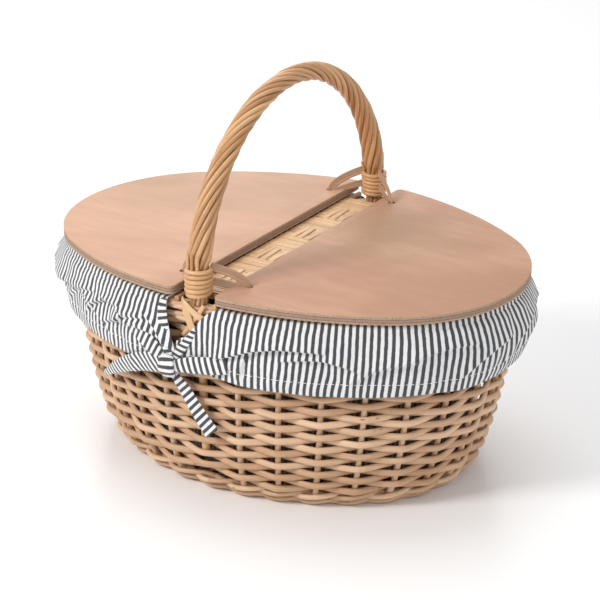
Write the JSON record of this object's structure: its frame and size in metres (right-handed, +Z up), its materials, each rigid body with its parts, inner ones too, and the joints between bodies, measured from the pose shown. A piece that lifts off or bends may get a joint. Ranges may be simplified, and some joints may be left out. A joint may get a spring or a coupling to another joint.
{
  "type": "wicker picnic basket",
  "caption": "Oval woven willow basket with a roped hoop handle, two hinged wooden lids that open from the middle, and a striped cloth liner tied on over the rim.",
  "frame": {"origin": "on the floor under the middle of the basket", "axes": "+X along the basket's length, +Y across it away from the front, +Z up"},
  "size_m": [0.4802, 0.3708, 0.3794],
  "materials": {
    "willow": "peeled willow rods, clear satin varnish",
    "willow_gold": "split willow rods, glossy varnish",
    "willow_brown": "steamed willow, satin",
    "cane": "flat split cane, satin",
    "plywood": "stained plywood board, matt varnish",
    "strap": "weathered flat cane strip",
    "striped_cloth": "plain-woven cotton, charcoal and white stripes"
  },
  "bodies": {
    "root": {"foot_hoop": "willow_brown", "base_sticks": "willow", "floor_weave": "willow", "stakes": "willow", "upsett_wale": "willow", "side_weave": "willow", "top_wale": "willow", "border": "willow", "handle_bow": "willow", "handle_roping": "willow_gold", "handle_collar_front": "willow_gold", "handle_collar_back": "willow_gold", "foot_binding_front": "cane", "foot_binding_back": "cane", "bridge_rods": "willow", "bridge_wrap": "cane", "liner_bag": "striped_cloth", "skirt_left": "striped_cloth", "skirt_right": "striped_cloth", "tie_front_left": "striped_cloth", "tie_front_right": "striped_cloth", "tie_front_knot": "striped_cloth", "tie_back_left": "striped_cloth", "tie_back_right": "striped_cloth", "tie_back_knot": "striped_cloth"},
    "lid_left": {"lid_left": "plywood", "strap_front_left": "strap", "strap_back_left": "strap"},
    "lid_right": {"lid_right": "plywood", "strap_front_right": "strap", "strap_back_right": "strap"}
  },
  "joints": [
    {"name": "lid_left_hinge", "type": "hinge", "parent": "root", "child": "lid_left", "pos_m": [-0.0222, 0, 0.20465], "axis": [0, 1, 0], "range_deg": [0, 92], "deforming": ["strap_front_left", "strap_back_left"]},
    {"name": "lid_right_hinge", "type": "hinge", "parent": "root", "child": "lid_right", "pos_m": [0.0222, 0, 0.20465], "axis": [0, -1, 0], "range_deg": [0, 92], "deforming": ["strap_front_right", "strap_back_right"]}
  ]
}
